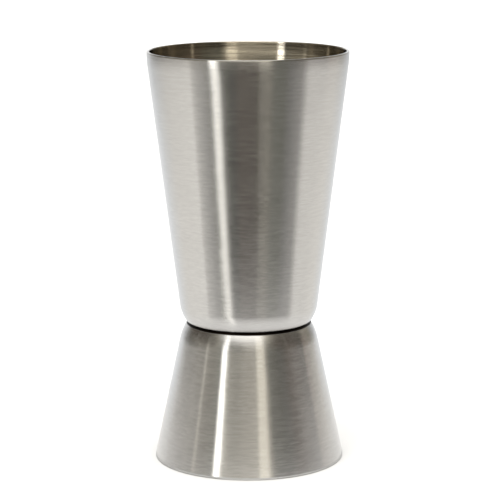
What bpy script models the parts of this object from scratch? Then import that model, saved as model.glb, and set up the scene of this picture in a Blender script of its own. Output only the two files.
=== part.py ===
"""Double-ended bar jigger, in metres, standing on the rim of its small cup with its axis on Z.

Two cups are drawn from stainless-steel sheet, one about twice the capacity of the other. They
stand base to base and are resistance-welded at three spots. The weld projections hold the two
flat bases a hair apart, which leaves the fine dark groove round the waist.
"""

import math

import bmesh
import bpy
from mathutils import Matrix, Vector

# Overall
TOTAL_HEIGHT = 0.0876
WAIST_HEIGHT = 0.02985  # middle of the groove between the two bases
BASE_GAP = 0.0003

# Sheet: the base keeps the blank's thickness, and drawing irons the wall thinner
WALL = 0.0006
FLOOR = 0.0010
EDGE_ROUND = 0.00015  # the ground edge of each rim

# Large cup, outside sizes. A cone's base radius is where its wall would meet the base plane
LARGE_MOUTH_RADIUS = 0.0213
LARGE_CONE_BASE_RADIUS = 0.01430
LARGE_SHOULDER_RADIUS = 0.0080  # the wide bend by which the wall draws in towards the base
LARGE_LIP = 0.0030  # the wall turns upright over this height below its rim

# Small cup, outside sizes
SMALL_MOUTH_RADIUS = 0.02025
SMALL_CONE_BASE_RADIUS = 0.01395
SMALL_SHOULDER_RADIUS = 0.0110
SMALL_LIP = 0.0006

# Bends at the base of both cups
SHOULDER_END = math.radians(33.0)  # how far the outside leans from upright where the tight bend starts
BASE_BEND_RADIUS = 0.0007
INSIDE_BEND_RADIUS = 0.0025

# Spot welds
WELD_COUNT = 3
WELD_CIRCLE_RADIUS = 0.0060
NUGGET_RADIUS = 0.0020
NUGGET_HEIGHT = 0.0009
CLEARANCE = 0.0003  # between a nugget and the sheet round it
DIMPLE_RADIUS = 0.0026  # the electrode's mark inside each cup
DIMPLE_DEPTH = 0.00012

# Facets
TURN_STEPS = 64
CORNER_STEPS = 6
LIP_STEPS = 3
EDGE_STEPS = 2
WELD_STEPS = 24
WELD_RINGS = 10

MERGE = 0.00001
UP = 0.5 * math.pi

STEEL_COLOUR = (0.62, 0.61, 0.59, 1.0)
STEEL_ROUGHNESS = 0.35
WELD_COLOUR = (0.45, 0.44, 0.43, 1.0)
WELD_ROUGHNESS = 0.5


def clear_scene():
    for item in list(bpy.data.objects):
        bpy.data.objects.remove(item, do_unlink=True)


def metal(name, colour, roughness):
    made = bpy.data.materials.new(name)
    made.use_nodes = True
    shader = made.node_tree.nodes["Principled BSDF"]
    shader.inputs["Base Color"].default_value = colour
    shader.inputs["Metallic"].default_value = 1.0
    shader.inputs["Roughness"].default_value = roughness
    return made


def arc(centre, radius, start, end, steps):
    """Points of an arc in the (radius, height) plane, both ends included."""
    found = []
    for step in range(steps + 1):
        angle = start + (end - start) * step / steps
        found.append(centre + radius * Vector((math.cos(angle), math.sin(angle))))
    return found


def base_bends(floor, bends):
    """Points of arcs one after the other, from the end of a flat at height floor.

    A bend is its radius and how far it leans from upright where it ends.
    """
    points = []
    centre = Vector((0.0, floor))
    lean = UP
    last_radius = 0.0
    for radius, end_lean in bends:
        centre += (last_radius - radius) * Vector((math.cos(lean), -math.sin(lean)))
        points = points[:-1] + arc(centre, radius, -lean, -end_lean, CORNER_STEPS)
        lean = end_lean
        last_radius = radius
    return points


def wall_side(mouth_radius, cone_radius, height, lip, inset, floor, bends):
    """One side of a cup's wall, from the flat of its base up to just below its rim.

    The side is the outside moved in by inset, with its flat at height floor. The bends lead up
    to the cone, which the last one touches, and the lip is an arc from the cone to upright.
    """
    lean = math.atan((mouth_radius - cone_radius) / (height - 0.5 * lip))
    lip_radius = lip / math.sin(lean)
    lip_centre = Vector((mouth_radius - lip_radius, height))
    lip_bend = arc(lip_centre, lip_radius - inset, -lean, 0.0, LIP_STEPS)
    last_radius = bends[-1]
    turns = [(radius, SHOULDER_END) for radius in bends[:-1]]
    corner = base_bends(floor, [*turns, (last_radius, lean)])
    cone = lip_bend[0] - corner[-1]
    shift = Vector((cone.x - cone.y * math.tan(lean), 0.0))
    return [point + shift for point in corner] + lip_bend


def cup_profile(mouth_radius, cone_radius, height, lip, shoulder_radius):
    """Half section of a cup with its mouth up: up the inside, over the rim, down the outside."""
    shape = (mouth_radius, cone_radius, height, lip)
    inside = wall_side(*shape, WALL, FLOOR, (INSIDE_BEND_RADIUS,))
    outside = wall_side(*shape, 0.0, 0.0, (BASE_BEND_RADIUS, shoulder_radius))
    inside[-1].y -= EDGE_ROUND
    outside[-1].y -= EDGE_ROUND
    edge_height = height - EDGE_ROUND
    inner_edge = Vector((mouth_radius - WALL + EDGE_ROUND, edge_height))
    outer_edge = Vector((mouth_radius - EDGE_ROUND, edge_height))
    rim = arc(inner_edge, EDGE_ROUND, math.pi, UP, EDGE_STEPS)[1:]
    rim += arc(outer_edge, EDGE_ROUND, UP, 0.0, EDGE_STEPS)[:-1]
    middle_top = Vector((0.0, FLOOR))
    middle_base = Vector((0.0, 0.0))
    return [middle_top, *inside, *rim, *reversed(outside), middle_base]


def turned(name, profile, material, parent):
    """A closed solid of revolution about Z from a half section that starts and ends on Z."""
    mesh = bpy.data.meshes.new(name)
    points = [(point.x, 0.0, point.y) for point in profile]
    edges = [(i, i + 1) for i in range(len(points) - 1)]
    mesh.from_pydata(points, edges, [])
    mesh.materials.append(material)
    made = bpy.data.objects.new(name, mesh)
    bpy.context.scene.collection.objects.link(made)
    made.parent = parent
    screw = made.modifiers.new("Turn", "SCREW")
    screw.axis = "Z"
    screw.angle = 2.0 * math.pi
    screw.steps = TURN_STEPS
    screw.render_steps = TURN_STEPS
    screw.use_merge_vertices = True
    screw.merge_threshold = MERGE
    screw.use_smooth_shade = True
    return made


def weld_places():
    """Where the spot welds stand, evenly round the axis."""
    found = []
    for index in range(WELD_COUNT):
        angle = UP + 2.0 * math.pi * index / WELD_COUNT
        found.append(WELD_CIRCLE_RADIUS * Vector((math.cos(angle), math.sin(angle), 0.0)))
    return found


def add_lens(shape, centre, radius, height):
    """A lens-shaped body of that radius and full height in the bmesh shape."""
    squash = Matrix.Diagonal((radius, radius, 0.5 * height, 1.0))
    bmesh.ops.create_uvsphere(
        shape,
        u_segments=WELD_STEPS,
        v_segments=WELD_RINGS,
        radius=1.0,
        matrix=Matrix.Translation(centre) @ squash,
    )


def cutter(name, height, radius, thickness):
    """A hidden object of lenses at the weld places, to be cut from a cup's base."""
    shape = bmesh.new()
    for place in weld_places():
        add_lens(shape, place + Vector((0.0, 0.0, height)), radius, thickness)
    mesh = bpy.data.meshes.new(name)
    shape.to_mesh(mesh)
    shape.free()
    made = bpy.data.objects.new(name, mesh)
    bpy.context.scene.collection.objects.link(made)
    made.hide_render = True
    made.display_type = "WIRE"
    return made


def cut(target, tool):
    boolean = target.modifiers.new(tool.name, "BOOLEAN")
    boolean.operation = "DIFFERENCE"
    boolean.solver = "EXACT"
    boolean.object = tool


def cup(name, profile, material, parent, base_height, mouth_up):
    """A cup on the axis with its base at base_height, welded and marked by the electrodes."""
    made = turned(name, profile, material, parent)
    made.location.z = base_height
    made.rotation_euler.x = 0.0 if mouth_up else math.pi
    inwards = 1.0 if mouth_up else -1.0
    pocket_height = NUGGET_HEIGHT + 2.0 * CLEARANCE
    pocket_radius = NUGGET_RADIUS + CLEARANCE
    cut(made, cutter(name + "_weld_pockets", WAIST_HEIGHT, pocket_radius, pocket_height))
    floor_height = base_height + inwards * FLOOR
    mark_height = 2.0 * DIMPLE_DEPTH
    cut(made, cutter(name + "_electrode_marks", floor_height, DIMPLE_RADIUS, mark_height))


def weld_nuggets(material, parent):
    """The fused lens of metal at each spot weld, across the gap between the two bases."""
    shape = bmesh.new()
    add_lens(shape, Vector(), NUGGET_RADIUS, NUGGET_HEIGHT)
    mesh = bpy.data.meshes.new("weld_nugget")
    shape.to_mesh(mesh)
    shape.free()
    mesh.materials.append(material)
    mesh.shade_smooth()
    for number, place in enumerate(weld_places(), start=1):
        made = bpy.data.objects.new(f"weld_nugget_{number}", mesh)
        bpy.context.scene.collection.objects.link(made)
        made.location = place + Vector((0.0, 0.0, WAIST_HEIGHT))
        made.parent = parent


def main():
    clear_scene()
    jigger = bpy.data.objects.new("jigger", None)
    bpy.context.scene.collection.objects.link(jigger)

    large_base = WAIST_HEIGHT + 0.5 * BASE_GAP
    large_profile = cup_profile(
        LARGE_MOUTH_RADIUS,
        LARGE_CONE_BASE_RADIUS,
        TOTAL_HEIGHT - large_base,
        LARGE_LIP,
        LARGE_SHOULDER_RADIUS,
    )
    large_steel = metal("large_cup_steel", STEEL_COLOUR, STEEL_ROUGHNESS)
    cup("large_cup", large_profile, large_steel, jigger, large_base, mouth_up=True)

    small_base = WAIST_HEIGHT - 0.5 * BASE_GAP
    small_profile = cup_profile(
        SMALL_MOUTH_RADIUS,
        SMALL_CONE_BASE_RADIUS,
        small_base,
        SMALL_LIP,
        SMALL_SHOULDER_RADIUS,
    )
    small_steel = metal("small_cup_steel", STEEL_COLOUR, STEEL_ROUGHNESS)
    cup("small_cup", small_profile, small_steel, jigger, small_base, mouth_up=False)

    weld_nuggets(metal("weld_steel", WELD_COLOUR, WELD_ROUGHNESS), jigger)


main()
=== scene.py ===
"""Looks of the double-ended bar jigger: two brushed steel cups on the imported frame, in metres."""

import math

import bmesh
import bpy
from mathutils import Matrix, Vector


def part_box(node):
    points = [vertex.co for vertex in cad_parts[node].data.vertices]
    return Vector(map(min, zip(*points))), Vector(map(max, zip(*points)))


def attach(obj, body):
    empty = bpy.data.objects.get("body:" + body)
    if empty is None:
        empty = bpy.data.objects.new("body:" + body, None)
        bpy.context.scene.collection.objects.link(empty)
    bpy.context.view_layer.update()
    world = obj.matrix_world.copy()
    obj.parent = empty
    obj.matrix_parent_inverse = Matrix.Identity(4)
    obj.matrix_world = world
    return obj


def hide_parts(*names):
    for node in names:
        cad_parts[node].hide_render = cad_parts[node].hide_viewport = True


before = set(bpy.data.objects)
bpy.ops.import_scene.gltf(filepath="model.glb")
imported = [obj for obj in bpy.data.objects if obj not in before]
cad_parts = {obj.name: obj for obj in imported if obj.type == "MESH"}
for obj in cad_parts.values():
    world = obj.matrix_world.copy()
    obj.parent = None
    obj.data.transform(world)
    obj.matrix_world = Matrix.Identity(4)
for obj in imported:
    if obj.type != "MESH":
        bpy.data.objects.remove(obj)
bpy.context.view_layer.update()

# Sheet and shape of the cups, as the CAD part has them
WALL = 0.0006
FLOOR = 0.0010
EDGE_ROUND = 0.00015
LARGE_CONE_BASE_RADIUS = 0.01430
LARGE_SHOULDER_RADIUS = 0.0080
LARGE_LIP = 0.0030
SMALL_CONE_BASE_RADIUS = 0.01395
SMALL_SHOULDER_RADIUS = 0.0110
SMALL_LIP = 0.0006
SHOULDER_END = math.radians(33.0)
BASE_BEND_RADIUS = 0.0007
INSIDE_BEND_RADIUS = 0.0025

# Electrode marks on the floors
MARK_RADIUS = 0.0026
MARK_DEPTH = 0.00012
SAME_HEIGHT = 1e-6

# Facets
TURN_STEPS = 192
CORNER_STEPS = 20
LIP_STEPS = 8
EDGE_STEPS = 6
CONE_RING = 0.0016
FLOOR_RINGS = 48
BASE_RINGS = 8

# The bases as welded: pressed together but for a hair
CONTACT_GAP = 0.0001

UP = 0.5 * math.pi

# Camera: where it stands and how it is turned; its lens and sensor are in millimetres
CAMERA_DISTANCE = 0.4413
CAMERA_HEIGHT = 0.13036
CAMERA_PITCH = math.radians(10.95)
CAMERA_ROLL = math.radians(-0.18)
CAMERA_YAW = math.radians(-0.040)
CAMERA_LENS = 151.6
SENSOR = 36.0

# Tints of what the steel mirrors
WHITE = (0.98, 1.0, 1.02)
NEUTRAL = (1.0, 0.98, 0.94)
OLIVE = (1.0, 1.0, 0.87)
SAND = (1.0, 0.94, 0.80)
ROSE = (1.0, 0.81, 0.67)
BROWN = (1.0, 0.84, 0.70)

# The room as the steel mirrors it: azimuth in degrees from the camera's side, positive to the
# right, then brightness and tint
ROOM = (
    (-180, 1.00, WHITE),
    (-150, 0.82, WHITE),
    (-132, 0.28, NEUTRAL),
    (-120, 0.15, SAND),
    (-98, 0.28, SAND),
    (-90, 0.43, SAND),
    (-86, 0.43, SAND),
    (-80, 0.34, SAND),
    (-76, 0.36, SAND),
    (-73, 0.98, SAND),
    (-69, 0.46, SAND),
    (-60, 0.38, SAND),
    (-46, 0.36, OLIVE),
    (-43, 2.00, NEUTRAL),
    (-37.3, 2.00, NEUTRAL),
    (-35.3, 0.24, SAND),
    (-26, 0.17, OLIVE),
    (-16, 0.18, OLIVE),
    (0, 0.25, SAND),
    (11, 0.32, SAND),
    (15, 0.74, SAND),
    (23, 0.69, SAND),
    (28, 0.32, SAND),
    (33, 0.19, OLIVE),
    (54, 0.15, OLIVE),
    (68, 0.18, ROSE),
    (84, 0.15, ROSE),
    (98, 0.06, ROSE),
    (104, 0.26, ROSE),
    (130, 0.30, SAND),
    (150, 0.60, WHITE),
    (180, 1.00, WHITE),
)
# The same near the horizon, where the windows are brightest
LOW_ROOM = (
    (-180, 1.00, WHITE),
    (-150, 0.78, WHITE),
    (-132, 0.28, NEUTRAL),
    (-120, 0.11, SAND),
    (-98, 0.19, SAND),
    (-77, 0.22, SAND),
    (-73, 0.50, SAND),
    (-69, 0.26, SAND),
    (-56, 0.22, SAND),
    (-45.5, 0.20, OLIVE),
    (-43, 5.60, NEUTRAL),
    (-37.5, 5.60, NEUTRAL),
    (-35.5, 1.15, SAND),
    (-26, 1.05, SAND),
    (0, 1.00, SAND),
    (11, 1.10, SAND),
    (15, 1.90, SAND),
    (23, 1.90, SAND),
    (28, 0.55, SAND),
    (33, 0.15, OLIVE),
    (54, 0.11, OLIVE),
    (66, 0.12, ROSE),
    (99, 0.04, ROSE),
    (104, 0.24, ROSE),
    (130, 0.32, SAND),
    (150, 0.60, WHITE),
    (180, 1.00, WHITE),
)
# The same above the height of a person: darker, with the lamp, a ceiling panel and two thin gaps
UPPER_ROOM = (
    (-180, 0.12, BROWN),
    (-125, 0.14, BROWN),
    (-107, 0.08, BROWN),
    (-104, 0.25, SAND),
    (-101, 0.08, BROWN),
    (-88, 0.09, BROWN),
    (-78, 0.15, SAND),
    (-66, 0.22, SAND),
    (-57, 0.36, SAND),
    (-46, 0.34, OLIVE),
    (-43, 2.00, NEUTRAL),
    (-36.5, 2.00, NEUTRAL),
    (-34, 0.20, OLIVE),
    (-18, 0.20, SAND),
    (-8, 0.38, SAND),
    (10, 0.50, SAND),
    (14, 1.10, SAND),
    (23, 1.10, SAND),
    (29, 0.38, SAND),
    (38, 0.22, SAND),
    (50, 0.14, BROWN),
    (66, 0.10, BROWN),
    (69, 0.25, SAND),
    (72, 0.10, BROWN),
    (106, 0.14, SAND),
    (116, 0.38, SAND),
    (135, 0.38, SAND),
    (180, 0.12, BROWN),
)
# The same above half way up: the overhead softbox, towards the camera's side
HIGH_ROOM = (
    (-180, 0.15, BROWN),
    (-125, 0.30, SAND),
    (-106, 0.12, BROWN),
    (-88, 0.18, SAND),
    (-68, 0.50, SAND),
    (-57, 1.10, NEUTRAL),
    (-46, 1.90, NEUTRAL),
    (24, 1.90, NEUTRAL),
    (36, 1.05, SAND),
    (46, 0.55, SAND),
    (57, 0.32, SAND),
    (68, 0.22, SAND),
    (88, 0.20, SAND),
    (122, 0.45, SAND),
    (180, 0.15, BROWN),
)
# Where the room's four rings of light fade into each other, by the height of a unit direction
ROOM_BAND = (0.09, 0.15)
UPPER_BAND = (0.24, 0.30)
HIGH_BAND = (0.54, 0.70)
# Share of the room's light left on a path that meets a second surface, as where one steel wall
# mirrors another, and the ray depth that such a path passes
SECOND_MIRRORING = 0.20
MIRRORED_ONCE = 2.5
BACKDROP = (1.0, 1.0, 1.0, 1.0)
BACKDROP_STRENGTH = 0.95

# The table's painted light, mirrored by the large cup
TABLE = (
    (-180, 0.95, WHITE),
    (-140, 0.99, WHITE),
    (-110, 1.03, NEUTRAL),
    (-70, 1.08, NEUTRAL),
    (-66, 0.80, NEUTRAL),
    (-61, 0.65, NEUTRAL),
    (-56, 0.56, NEUTRAL),
    (-50, 0.44, NEUTRAL),
    (-38, 0.27, OLIVE),
    (-29, 0.13, OLIVE),
    (-23, 0.07, OLIVE),
    (-16, 0.05, OLIVE),
    (-11, 0.085, ROSE),
    (-5, 0.082, ROSE),
    (10, 0.074, BROWN),
    (16, 0.155, SAND),
    (25, 0.21, SAND),
    (32, 0.20, OLIVE),
    (42, 0.20, OLIVE),
    (50, 0.27, NEUTRAL),
    (57, 0.35, NEUTRAL),
    (63, 0.41, NEUTRAL),
    (67, 0.58, NEUTRAL),
    (73, 0.92, NEUTRAL),
    (78, 0.97, NEUTRAL),
    (120, 1.01, NEUTRAL),
    (150, 0.94, WHITE),
    (180, 0.95, WHITE),
)
# The table's far part, mirrored by the sides of the small cup
FAR_TABLE = (
    (-180, 0.88, WHITE),
    (-150, 0.72, WHITE),
    (-135, 0.26, NEUTRAL),
    (-120, 0.12, SAND),
    (-98, 0.26, SAND),
    (-77, 0.36, SAND),
    (-50, 0.40, SAND),
    (-38, 0.28, OLIVE),
    (-30, 0.09, OLIVE),
    (-12, 0.07, OLIVE),
    (10, 0.10, BROWN),
    (15, 0.18, SAND),
    (25, 0.22, SAND),
    (29, 0.15, OLIVE),
    (66, 0.16, ROSE),
    (99, 0.12, ROSE),
    (104, 0.26, ROSE),
    (130, 0.30, SAND),
    (150, 0.55, WHITE),
    (180, 0.88, WHITE),
)
# Light close by the foot, and how far from the axis each part of the table fades into the next
NEAR_TABLE = (1.0, 0.99, 0.97, 1.0)
NEAR_FADE = (0.043, 0.098)
FAR_FADE = (0.36, 0.75)
TABLE_END = 3.0
TABLE_HEIGHT = 0.0005
TABLE_STEPS = 128
FOOT_MARGIN = 0.0003
# The lamp's beam across the table, by azimuth about the point where it begins
BEAM_START = (0.0030, -0.0160, 0.0)
BEAM_FADE = (0.036, 0.056)
BEAM = (
    (-180, 0.00, SAND),
    (-45.5, 0.00, SAND),
    (-42.5, 1.12, NEUTRAL),
    (-36, 1.12, NEUTRAL),
    (-33, 0.00, SAND),
    (180, 0.00, SAND),
)

# Lights: a softbox overhead, as radiance, and a wide even ceiling
SOFTBOX_PLACE = (0.0, -0.05, 0.65)
SOFTBOX_TARGET = (0.0, 0.0, 0.04)
SOFTBOX_SIZE = 0.42
SOFTBOX_RADIANCE = 1.6
CEILING_STRENGTH = 3.1
CEILING_SPREAD = math.radians(120.0)

# Studio floor
STUDIO_FLOOR_SIZE = 8.0
STUDIO_FLOOR_DARK = (0.86, 0.86, 0.855, 1.0)
STUDIO_FLOOR_LIGHT = (0.89, 0.89, 0.885, 1.0)
STUDIO_FLOOR_ROUGHNESS = 0.9
STUDIO_FLOOR_GRAIN = (60.0, 3.0)  # noise scale and detail

# Brushing: strength and noise seed of each cup
LARGE_BRUSHING = 0.68
LARGE_SEED = 3.0
SMALL_BRUSHING = 0.72
SMALL_SEED = 71.0
# Its marks: pitch in metres across, length in radians round the axis, and a shift that keeps one
# kind apart from another
DASHES = (0.00020, 0.09, 0.0)
STROKES = (0.00040, 0.24, 11.0)
PATCHES = (0.009, 0.50, 23.0)
WAVES = (0.0005, 0.60, 37.0)
# How much of the lightness the two fine kinds make up, and the noise values that it runs between
DASH_SHARE = 0.55
STROKE_SHARE = 0.45
LINE_TONES = (0.36, 0.64)
WAVE_TONES = (0.36, 0.60)
# Depth of a stroke, and the other marks' depths as multiples of it
STROKE_DEPTH = 0.0000026
DASH_DEPTH = 0.3
PATCH_DEPTH = 22.0
WAVE_DEPTH = 10.0
# Turns from the way round the axis to the way that the brushing smears a reflection
SMEAR_TURN = 0.25
# Roughness, and what the marks, the inside and the painted crevice shade add to it
ROUGHNESS = 0.1775
LINE_ROUGHNESS = 0.035
PATCH_ROUGHNESS = 0.06
INSIDE_ROUGHNESS = -0.07
CREVICE_SHADE_ROUGHNESS = 0.35

# Steel as brushed, the tint of the cups' inside, and the ground edge of the rims
STEEL_DARK = (0.591, 0.580, 0.564, 1.0)
STEEL_LIGHT = (0.673, 0.661, 0.642, 1.0)
INSIDE_DARK = (0.96, 0.89, 0.77, 1.0)
INSIDE_LIGHT = (1.18, 1.11, 0.96, 1.0)
GROUND_EDGE = (0.54, 0.52, 0.48, 1.0)
EDGE_WIDTH = 0.0004
EDGE_CORE = 0.8 * EDGE_WIDTH

# Painted shade in the crevice at the waist, where the bases meet: how far it rises from the waist
# on each cup, and how softly it ends
PAINTED_CREVICE_SHADE = (0.016, 0.010, 0.006, 1.0)
LARGE_CREVICE_SHADE_RISE = 0.00014
SMALL_CREVICE_SHADE_RISE = 0.00042
CREVICE_SHADE_FADE = 0.00018

# Colours that the heat left round each weld, and how far they reach
HEAT_STRAW = (0.50, 0.36, 0.19, 1.0)
HEAT_BLUE = (0.25, 0.27, 0.33, 1.0)
HEAT_RADIUS = 0.0048
HEAT_CORE = 0.6 * HEAT_RADIUS
BLUE_RADIUS = 0.8 * MARK_RADIUS
BLUE_CORE = 0.5 * MARK_RADIUS

# Fused metal of the welds
WELD_DARK = (0.28, 0.25, 0.22, 1.0)
WELD_LIGHT = (0.52, 0.51, 0.50, 1.0)
WELD_GRAIN = (4000.0, 4.0)  # noise scale and detail
WELD_GRAIN_DEPTH = 0.00002
WELD_BUMP = 0.6
WELD_TONES = (0.3, 0.7)
WELD_ROUGHNESS = (0.4, 0.6)


def arc(centre, radius, start, end, steps):
    """Points of an arc in the (radius, height) plane, both ends included."""
    found = []
    for step in range(steps + 1):
        angle = start + (end - start) * step / steps
        found.append(centre + radius * Vector((math.cos(angle), math.sin(angle))))
    return found


def straight(start, end, steps):
    """Points between two points of the (radius, height) plane, both left out."""
    return [start.lerp(end, step / steps) for step in range(1, steps)]


def base_bends(floor, bends):
    """Points of arcs one after the other, from the end of a flat at height floor.

    A bend is its radius and how far it leans from upright where it ends.
    """
    points = []
    centre = Vector((0.0, floor))
    lean = UP
    last_radius = 0.0
    for radius, end_lean in bends:
        centre += (last_radius - radius) * Vector((math.cos(lean), -math.sin(lean)))
        points = points[:-1] + arc(centre, radius, -lean, -end_lean, CORNER_STEPS)
        lean = end_lean
        last_radius = radius
    return points


def wall_side(mouth_radius, cone_radius, height, lip, inset, floor, bends):
    """One side of a cup's wall, from the flat of its base up to just below its rim.

    The bends are radii, from the base outwards. All but the last end at the shoulder's lean, and
    the last one ends at the cone's.
    """
    lean = math.atan((mouth_radius - cone_radius) / (height - 0.5 * lip))
    lip_radius = lip / math.sin(lean)
    lip_centre = Vector((mouth_radius - lip_radius, height))
    lip_bend = arc(lip_centre, lip_radius - inset, -lean, 0.0, LIP_STEPS)
    last_radius = bends[-1]
    turns = [(radius, SHOULDER_END) for radius in bends[:-1]]
    corner = base_bends(floor, [*turns, (last_radius, lean)])
    cone = lip_bend[0] - corner[-1]
    shift = Vector((cone.x - cone.y * math.tan(lean), 0.0))
    corner = [point + shift for point in corner]
    rings = math.ceil((lip_bend[0] - corner[-1]).length / CONE_RING)
    return [*corner, *straight(corner[-1], lip_bend[0], rings), *lip_bend]


def length(points):
    """Length of the line through the points."""
    return sum((after - before).length for before, after in zip(points, points[1:]))


def cup_outline(mouth_radius, cone_radius, height, lip, shoulder_radius):
    """Half section of a cup with its mouth up: up the inside, over the rim, down the outside.

    The second result is how far along it the middle of the rim's top is.
    """
    shape = (mouth_radius, cone_radius, height, lip)
    inside = wall_side(*shape, WALL, FLOOR, (INSIDE_BEND_RADIUS,))
    outside = wall_side(*shape, 0.0, 0.0, (BASE_BEND_RADIUS, shoulder_radius))
    inside[-1].y -= EDGE_ROUND
    outside[-1].y -= EDGE_ROUND
    edge_height = height - EDGE_ROUND
    inner_edge = Vector((mouth_radius - WALL + EDGE_ROUND, edge_height))
    outer_edge = Vector((mouth_radius - EDGE_ROUND, edge_height))
    rim = arc(inner_edge, EDGE_ROUND, math.pi, UP, EDGE_STEPS)[1:]
    rim += arc(outer_edge, EDGE_ROUND, UP, 0.0, EDGE_STEPS)[:-1]
    top = Vector((0.0, FLOOR))
    base = Vector((0.0, 0.0))
    floor = [top, *straight(top, inside[0], FLOOR_RINGS)]
    under = [*straight(outside[0], base, BASE_RINGS), base]
    outline = [*floor, *inside, *rim, *reversed(outside), *under]
    rim_travel = length([*floor, *inside, *rim[: EDGE_STEPS + 1]])
    return outline, rim_travel


def lathe(name, outline, place):
    """A closed mesh of revolution. Its UV map holds the turn and the distance along the outline."""
    travel = [0.0]
    for before, after in zip(outline, outline[1:]):
        travel.append(travel[-1] + (after - before).length)
    points = []
    rings = []
    for point in outline:
        steps = TURN_STEPS if point.x > 0.0 else 1
        rings.append([len(points) + step for step in range(steps)])
        for step in range(steps):
            turn = 2.0 * math.pi * step / steps
            spun = Vector((point.x * math.cos(turn), point.x * math.sin(turn), point.y))
            points.append(place @ spun)
    # On the axis a face's two corners are one point, which is kept once
    faces = []
    turned = []
    for index in range(len(outline) - 1):
        for step in range(TURN_STEPS):
            corners = {}
            for ring, side in ((index + 1, 0), (index + 1, 1), (index, 1), (index, 0)):
                corner = rings[ring][(step + side) % len(rings[ring])]
                corners.setdefault(corner, ((step + side) / TURN_STEPS, travel[ring]))
            faces.append(list(corners))
            turned += [value for pair in corners.values() for value in pair]
    mesh = bpy.data.meshes.new(name)
    mesh.from_pydata(points, [], faces)
    mesh.uv_layers.new(name="turned").data.foreach_set("uv", turned)
    mesh.shade_smooth()
    made = bpy.data.objects.new(name, mesh)
    bpy.context.scene.collection.objects.link(made)
    return made


def waist_height():
    """Middle of the gap between the two bases."""
    return (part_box("large_cup")[0].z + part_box("small_cup")[1].z) / 2.0


def weld_centres():
    """Where the spot welds stand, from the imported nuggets."""
    found = []
    for name in sorted(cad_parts):
        if name.startswith("weld_nugget"):
            low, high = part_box(name)
            found.append((low + high) / 2.0)
    return found


def press_marks(cup, floor_height, inwards):
    """Sink the electrodes' shallow round marks into the inner floor of a cup."""
    centres = weld_centres()
    for vertex in cup.data.vertices:
        if abs(vertex.co.z - floor_height) > SAME_HEIGHT:
            continue
        for centre in centres:
            away = (vertex.co.xy - centre.xy).length / MARK_RADIUS
            if away < 1.0:
                vertex.co.z -= inwards * MARK_DEPTH * math.sqrt(1.0 - away * away)


class Tree:
    """Short calls for building a node tree."""

    def __init__(self, tree):
        self.tree = tree
        self.tree.nodes.clear()

    def node(self, kind, inputs=None, **settings):
        """A new node. Each input is linked if its value is a socket, and set if not."""
        made = self.tree.nodes.new(kind)
        for key, value in settings.items():
            setattr(made, key, value)
        for key, value in (inputs or {}).items():
            if isinstance(value, bpy.types.NodeSocket):
                self.tree.links.new(value, made.inputs[key])
            else:
                made.inputs[key].default_value = value
        return made

    def math(self, operation, *values):
        inputs = dict(enumerate(values))
        return self.node("ShaderNodeMath", inputs, operation=operation).outputs[0]

    def vector(self, operation, *values):
        inputs = dict(enumerate(values))
        return self.node("ShaderNodeVectorMath", inputs, operation=operation).outputs[0]

    def smooth(self, value, low, high, to_low=0.0, to_high=1.0):
        """A soft step from to_low to_high as value goes from low to high."""
        inputs = {
            "Value": value,
            "From Min": low,
            "From Max": high,
            "To Min": to_low,
            "To Max": to_high,
        }
        made = self.node("ShaderNodeMapRange", inputs, interpolation_type="SMOOTHSTEP")
        return made.outputs["Result"]

    def noise(self, vector, scale, detail=2.0):
        inputs = {"Vector": vector, "Scale": scale, "Detail": detail}
        return self.node("ShaderNodeTexNoise", inputs).outputs["Fac"]

    def mix(self, factor, first, second):
        made = self.node("ShaderNodeMix", data_type="RGBA")
        for socket, value in zip((0, 6, 7), (factor, first, second)):
            if isinstance(value, bpy.types.NodeSocket):
                self.tree.links.new(value, made.inputs[socket])
            else:
                made.inputs[socket].default_value = value
        return made.outputs[2]

    def vector_length(self, value):
        made = self.node("ShaderNodeVectorMath", {0: value}, operation="LENGTH")
        return made.outputs["Value"]

    def azimuth_light(self, direction, stops):
        """Light by compass azimuth of a direction, from (degrees, brightness, tint) stops."""
        split = self.node("ShaderNodeSeparateXYZ", {0: direction})
        forward = self.math("MULTIPLY", split.outputs["Y"], -1.0)
        turn = self.math("ARCTAN2", split.outputs["X"], forward)
        share = self.math("MULTIPLY_ADD", turn, 0.5 / math.pi, 0.5)
        peak = max(brightness for _, brightness, _ in stops)
        ramp = self.node("ShaderNodeValToRGB", {0: share})
        elements = ramp.color_ramp.elements
        while len(elements) < len(stops):
            elements.new(1.0)
        for element, (degrees, brightness, tint) in zip(elements, stops):
            element.position = degrees / 360.0 + 0.5
            element.color = (*(brightness / peak * channel for channel in tint), 1.0)
        inputs = {0: ramp.outputs["Color"], "Scale": peak}
        return self.node("ShaderNodeVectorMath", inputs, operation="SCALE").outputs[0]


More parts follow.
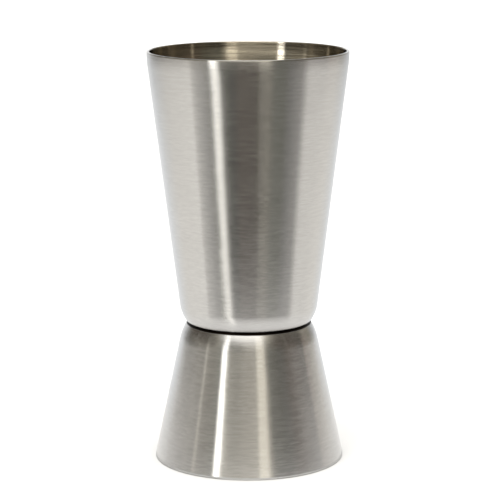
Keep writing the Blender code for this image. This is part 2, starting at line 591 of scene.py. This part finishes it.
def brushed_steel(name, seed, brushing, crevice_shade_rise, rim_travel, inner_floor):
    """Steel brushed round the axis: fine rings that smear a reflection up and down the wall.

    The inside is browner and smoother and in uneven bands, the ground edge of the rim has a tone
    of its own, and painted shade darkens the crevice in the corner by the base.
    """
    made = bpy.data.materials.new(name)
    made.use_nodes = True
    tree = Tree(made.node_tree)
    place = tree.node("ShaderNodeTexCoord").outputs["Object"]
    split = tree.node("ShaderNodeSeparateXYZ", {0: place})
    flat = tree.node("ShaderNodeCombineXYZ", {0: split.outputs["X"], 1: split.outputs["Y"]})
    outwards = tree.vector("NORMALIZE", flat.outputs[0])
    round_axis = tree.node("ShaderNodeSeparateXYZ", {0: outwards})
    turned = tree.node("ShaderNodeUVMap", uv_map="turned").outputs[0]
    travel = tree.node("ShaderNodeSeparateXYZ", {0: turned}).outputs["Y"]

    def rings(pitch, reach, shift):
        """Noise stretched round the axis: pitch in metres across, reach in radians along."""
        inputs = {
            0: tree.math("DIVIDE", round_axis.outputs["X"], reach),
            1: tree.math("DIVIDE", round_axis.outputs["Y"], reach),
            2: tree.math("MULTIPLY_ADD", travel, 1.0 / pitch, seed + shift),
        }
        return tree.noise(tree.node("ShaderNodeCombineXYZ", inputs).outputs[0], 1.0)

    dashes = rings(*DASHES)
    strokes = rings(*STROKES)
    patches = rings(*PATCHES)
    waves = rings(*WAVES)
    inside = tree.smooth(travel, rim_travel + EDGE_ROUND, rim_travel - EDGE_ROUND)
    outside = tree.math("SUBTRACT", 1.0, inside)

    fine = tree.math("MULTIPLY", dashes, DASH_SHARE)
    lines = tree.math("MULTIPLY_ADD", strokes, STROKE_SHARE, fine)
    lightness = tree.smooth(lines, *LINE_TONES, 0.5 - 0.5 * brushing, 0.5 + 0.5 * brushing)
    steel = tree.mix(lightness, STEEL_DARK, STEEL_LIGHT)
    bands = tree.mix(tree.smooth(waves, *WAVE_TONES), INSIDE_DARK, INSIDE_LIGHT)
    steel = tree.mix(inside, steel, tree.vector("MULTIPLY", steel, bands))

    # Ground edge of the rim
    off_rim = tree.math("ABSOLUTE", tree.math("SUBTRACT", travel, rim_travel))
    edge = tree.smooth(off_rim, EDGE_WIDTH, EDGE_CORE)
    steel = tree.mix(edge, steel, GROUND_EDGE)

    # Painted shade in the crevice at the waist
    rise = tree.math("ABSOLUTE", tree.math("SUBTRACT", split.outputs["Z"], waist_height()))
    rise = tree.math("MULTIPLY_ADD", strokes, CREVICE_SHADE_FADE, rise)
    crevice_shade_top = crevice_shade_rise + 1.5 * CREVICE_SHADE_FADE
    crevice_shade = tree.smooth(rise, crevice_shade_top, crevice_shade_rise + 0.5 * CREVICE_SHADE_FADE)
    crevice_shade = tree.math("MULTIPLY", crevice_shade, outside)
    # Painted shade, near black, over the steel's colour in the crevice at the waist
    steel = tree.mix(crevice_shade, steel, PAINTED_CREVICE_SHADE)

    # Straw and blue colours round the spot welds
    for centre in weld_centres():
        spot = (centre.x, centre.y, inner_floor)
        away = tree.vector_length(tree.vector("SUBTRACT", place, spot))
        straw = tree.smooth(away, HEAT_RADIUS, HEAT_CORE)
        steel = tree.mix(tree.math("MULTIPLY", straw, inside), steel, HEAT_STRAW)
        blue = tree.smooth(away, BLUE_RADIUS, BLUE_CORE)
        steel = tree.mix(tree.math("MULTIPLY", blue, inside), steel, HEAT_BLUE)

    uneven = tree.math("SUBTRACT", patches, 0.5)
    rough = tree.math("MULTIPLY_ADD", lightness, LINE_ROUGHNESS, ROUGHNESS)
    rough = tree.math("MULTIPLY_ADD", uneven, PATCH_ROUGHNESS, rough)
    rough = tree.math("MULTIPLY_ADD", inside, INSIDE_ROUGHNESS, rough)
    rough = tree.math("MULTIPLY_ADD", crevice_shade, CREVICE_SHADE_ROUGHNESS, rough)

    inside_waves = tree.math("MULTIPLY", waves, inside)
    height = tree.math("MULTIPLY_ADD", dashes, DASH_DEPTH, strokes)
    height = tree.math("MULTIPLY_ADD", patches, PATCH_DEPTH, height)
    height = tree.math("MULTIPLY_ADD", inside_waves, WAVE_DEPTH, height)
    depth = STROKE_DEPTH * brushing
    bump = tree.node("ShaderNodeBump", {"Strength": 1.0, "Distance": depth, "Height": height})
    tangent = tree.node("ShaderNodeTangent", direction_type="RADIAL", axis="Z")
    shader = tree.node(
        "ShaderNodeBsdfPrincipled",
        {
            "Base Color": steel,
            "Metallic": 1.0,
            "Roughness": rough,
            "Anisotropic": 1.0,
            "Anisotropic Rotation": SMEAR_TURN,
            "Tangent": tangent.outputs[0],
            "Normal": bump.outputs[0],
        },
    )
    tree.node("ShaderNodeOutputMaterial", {"Surface": shader.outputs[0]})
    return made


def weld_metal():
    """Grey, grainy metal that has been molten."""
    made = bpy.data.materials.new("weld_metal")
    made.use_nodes = True
    tree = Tree(made.node_tree)
    place = tree.node("ShaderNodeTexCoord").outputs["Object"]
    grain = tree.noise(place, *WELD_GRAIN)
    colour = tree.mix(grain, WELD_DARK, WELD_LIGHT)
    relief = {"Strength": WELD_BUMP, "Distance": WELD_GRAIN_DEPTH, "Height": grain}
    bump = tree.node("ShaderNodeBump", relief)
    rough = tree.smooth(grain, *WELD_TONES, *WELD_ROUGHNESS)
    shader = tree.node(
        "ShaderNodeBsdfPrincipled",
        {"Base Color": colour, "Metallic": 1.0, "Roughness": rough, "Normal": bump.outputs[0]},
    )
    tree.node("ShaderNodeOutputMaterial", {"Surface": shader.outputs[0]})
    return made


def finish_welds():
    """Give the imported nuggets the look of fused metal."""
    fused = weld_metal()
    for name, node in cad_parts.items():
        if name.startswith("weld_nugget"):
            node.data.materials.clear()
            node.data.materials.append(fused)


def make_cup(node, cone_radius, shoulder_radius, lip, mouth_up, finish):
    """One finished cup in place of its CAD node.

    The finish is its noise seed, the brushing's strength and how far the painted shade rises.
    """
    low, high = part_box(node)
    side = 1.0 if mouth_up else -1.0
    base = waist_height() + 0.5 * side * CONTACT_GAP
    rim = high.z if mouth_up else low.z
    outline, rim_travel = cup_outline(high.x, cone_radius, abs(rim - base), lip, shoulder_radius)
    turn = Matrix.Identity(4) if mouth_up else Matrix.Rotation(math.pi, 4, "X")
    made = lathe(node + "_finished", outline, Matrix.Translation((0.0, 0.0, base)) @ turn)
    inner_floor = base + side * FLOOR
    press_marks(made, inner_floor, side)
    steel = brushed_steel(node + "_brushed_steel", *finish, rim_travel, inner_floor)
    made.data.materials.append(steel)
    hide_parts(node)
    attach(made, "root")
    return made


def make_floor():
    """The studio's plain white floor."""
    bpy.ops.mesh.primitive_grid_add(size=STUDIO_FLOOR_SIZE, x_subdivisions=2, y_subdivisions=2)
    floor = bpy.context.object
    floor.name = "floor"
    made = bpy.data.materials.new("floor_white")
    made.use_nodes = True
    tree = Tree(made.node_tree)
    place = tree.node("ShaderNodeTexCoord").outputs["Object"]
    grain = tree.noise(place, *STUDIO_FLOOR_GRAIN)
    colour = tree.mix(grain, STUDIO_FLOOR_DARK, STUDIO_FLOOR_LIGHT)
    looks = {"Base Color": colour, "Roughness": STUDIO_FLOOR_ROUGHNESS}
    shader = tree.node("ShaderNodeBsdfPrincipled", looks)
    tree.node("ShaderNodeOutputMaterial", {"Surface": shader.outputs[0]})
    floor.data.materials.append(made)


def make_table_front():
    """The table as a glowing disc round the object, darker in front, which only the steel mirrors.
    """
    shape = bmesh.new()
    bmesh.ops.create_circle(shape, segments=TABLE_STEPS, radius=TABLE_END)
    outer = list(shape.edges)
    made_edges = bmesh.ops.extrude_edge_only(shape, edges=outer)["geom"]
    inner = [item for item in made_edges if isinstance(item, bmesh.types.BMVert)]
    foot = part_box("small_cup")[1].x
    bmesh.ops.scale(shape, verts=inner, vec=((foot + FOOT_MARGIN) / TABLE_END,) * 3)
    mesh = bpy.data.meshes.new("table_front")
    shape.to_mesh(mesh)
    shape.free()
    table = bpy.data.objects.new("table_front", mesh)
    bpy.context.scene.collection.objects.link(table)
    table.location.z = TABLE_HEIGHT
    made = bpy.data.materials.new("table_front")
    made.use_nodes = True
    tree = Tree(made.node_tree)
    place = tree.node("ShaderNodeTexCoord").outputs["Object"]
    reach = tree.vector_length(place)
    away = tree.smooth(reach, *NEAR_FADE)
    table_light = tree.mix(away, NEAR_TABLE, tree.azimuth_light(place, TABLE))
    far_away = tree.smooth(reach, *FAR_FADE)
    table_light = tree.mix(far_away, table_light, tree.azimuth_light(place, FAR_TABLE))
    beam = tree.azimuth_light(tree.vector("SUBTRACT", place, BEAM_START), BEAM)
    beam_share = tree.smooth(reach, *BEAM_FADE)
    table_light = tree.vector("MULTIPLY_ADD", beam, beam_share, table_light)
    # The table's light, its darker front and the lamp's beam are painted into the disc's glow
    glow = tree.node("ShaderNodeEmission", {"Color": table_light})
    tree.node("ShaderNodeOutputMaterial", {"Surface": glow.outputs[0]})
    mesh.materials.append(made)
    for kind in ("camera", "diffuse", "transmission", "volume_scatter", "shadow"):
        setattr(table, "visible_" + kind, False)


def make_world():
    """The room that the steel mirrors, and the plain backdrop that the camera sees."""
    world = bpy.data.worlds.new("studio")
    bpy.context.scene.world = world
    world.use_nodes = True
    tree = Tree(world.node_tree)
    direction = tree.node("ShaderNodeTexCoord").outputs["Generated"]
    height = tree.node("ShaderNodeSeparateXYZ", {0: direction}).outputs["Z"]
    light = tree.azimuth_light(direction, LOW_ROOM)
    for band, stops in ((ROOM_BAND, ROOM), (UPPER_BAND, UPPER_ROOM), (HIGH_BAND, HIGH_ROOM)):
        above = tree.smooth(height, *band)
        light = tree.mix(above, light, tree.azimuth_light(direction, stops))
    paths = tree.node("ShaderNodeLightPath")
    mirrored_twice = tree.math("GREATER_THAN", paths.outputs["Ray Depth"], MIRRORED_ONCE)
    strength = tree.math("MULTIPLY_ADD", mirrored_twice, SECOND_MIRRORING - 1.0, 1.0)
    mirrored = tree.node("ShaderNodeBackground", {"Color": light, "Strength": strength})
    plain = tree.node("ShaderNodeBackground", {"Color": BACKDROP, "Strength": BACKDROP_STRENGTH})
    seen = paths.outputs["Is Camera Ray"]
    sides = {0: seen, 1: mirrored.outputs[0], 2: plain.outputs[0]}
    shown = tree.node("ShaderNodeMixShader", sides)
    tree.node("ShaderNodeOutputWorld", {"Surface": shown.outputs[0]})


def make_softbox():
    """The softbox overhead, for the steel. It adds no diffuse light to the floor."""
    data = bpy.data.lights.new("overhead_softbox", "AREA")
    data.size = SOFTBOX_SIZE
    data.energy = SOFTBOX_RADIANCE * math.pi * SOFTBOX_SIZE * SOFTBOX_SIZE
    softbox = bpy.data.objects.new("overhead_softbox", data)
    bpy.context.scene.collection.objects.link(softbox)
    softbox.location = SOFTBOX_PLACE
    aim = Vector(SOFTBOX_TARGET) - Vector(SOFTBOX_PLACE)
    softbox.rotation_euler = aim.to_track_quat("-Z", "Y").to_euler()
    softbox.visible_diffuse = False


def make_ceiling():
    """Wide light from above, for the floor. It doesn't show in the steel."""
    data = bpy.data.lights.new("ceiling", "SUN")
    data.energy = CEILING_STRENGTH
    data.angle = CEILING_SPREAD
    ceiling = bpy.data.objects.new("ceiling", data)
    bpy.context.scene.collection.objects.link(ceiling)
    ceiling.visible_glossy = False


def make_camera():
    """The camera in front of the object, a little above it."""
    data = bpy.data.cameras.new("camera")
    data.lens = CAMERA_LENS
    data.sensor_width = SENSOR
    made = bpy.data.objects.new("camera", data)
    bpy.context.scene.collection.objects.link(made)
    turn = Matrix.Rotation(CAMERA_YAW, 4, "Z") @ Matrix.Rotation(UP - CAMERA_PITCH, 4, "X")
    roll = Matrix.Rotation(CAMERA_ROLL, 4, "Z")
    made.matrix_world = Matrix.Translation((0.0, -CAMERA_DISTANCE, CAMERA_HEIGHT)) @ turn @ roll
    bpy.context.scene.camera = made


def main():
    make_camera()
    large_shape = (LARGE_CONE_BASE_RADIUS, LARGE_SHOULDER_RADIUS, LARGE_LIP)
    large_finish = (LARGE_SEED, LARGE_BRUSHING, LARGE_CREVICE_SHADE_RISE)
    make_cup("large_cup", *large_shape, mouth_up=True, finish=large_finish)
    small_shape = (SMALL_CONE_BASE_RADIUS, SMALL_SHOULDER_RADIUS, SMALL_LIP)
    small_finish = (SMALL_SEED, SMALL_BRUSHING, SMALL_CREVICE_SHADE_RISE)
    make_cup("small_cup", *small_shape, mouth_up=False, finish=small_finish)
    finish_welds()
    make_floor()
    make_table_front()
    make_world()
    make_softbox()
    make_ceiling()
    bpy.context.scene.view_settings.view_transform = "Standard"


main()
